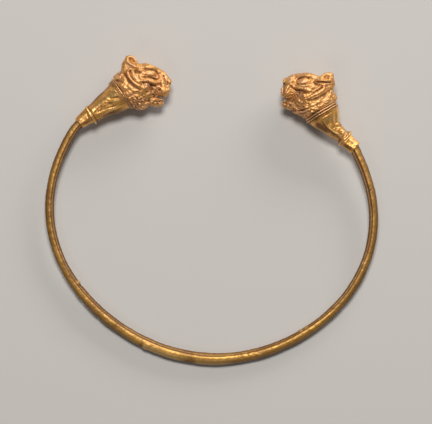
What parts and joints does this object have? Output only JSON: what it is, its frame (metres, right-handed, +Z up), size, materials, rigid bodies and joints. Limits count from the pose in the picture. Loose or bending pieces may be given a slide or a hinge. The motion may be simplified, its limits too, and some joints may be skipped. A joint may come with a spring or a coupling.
{
  "type": "gold bracelet with lion-head terminals",
  "caption": "Open gold bracelet, lying flat: a plain rolled hoop whose ends carry sleeves, flared neck cones and facing lion heads.",
  "frame": {"origin": "under the middle of the whole bracelet, on the surface it lies on", "axes": "+X across the bracelet towards the neck with the bent cone, +Y towards the open side between the heads, +Z up from the surface"},
  "size_m": [0.0722, 0.067, 0.0088],
  "materials": {
    "hoop_gold": "old polished gold, soft gloss, brown patina along the seam",
    "collar_gold": "hammered sheet gold, creased, soft gloss",
    "wire_gold": "drawn gold wire with reddish dirt in the grooves",
    "head_gold": "worn repousse gold, brown in the hollows, bright on the high places"
  },
  "bodies": {
    "root": {"hoop": "hoop_gold", "sleeve_left": "collar_gold", "cone_left": "collar_gold", "rim_wire_left": "wire_gold", "head_left": "head_gold", "sleeve_right": "collar_gold", "cone_right": "collar_gold", "rim_wire_right": "wire_gold", "head_right": "head_gold"}
  },
  "joints": []
}
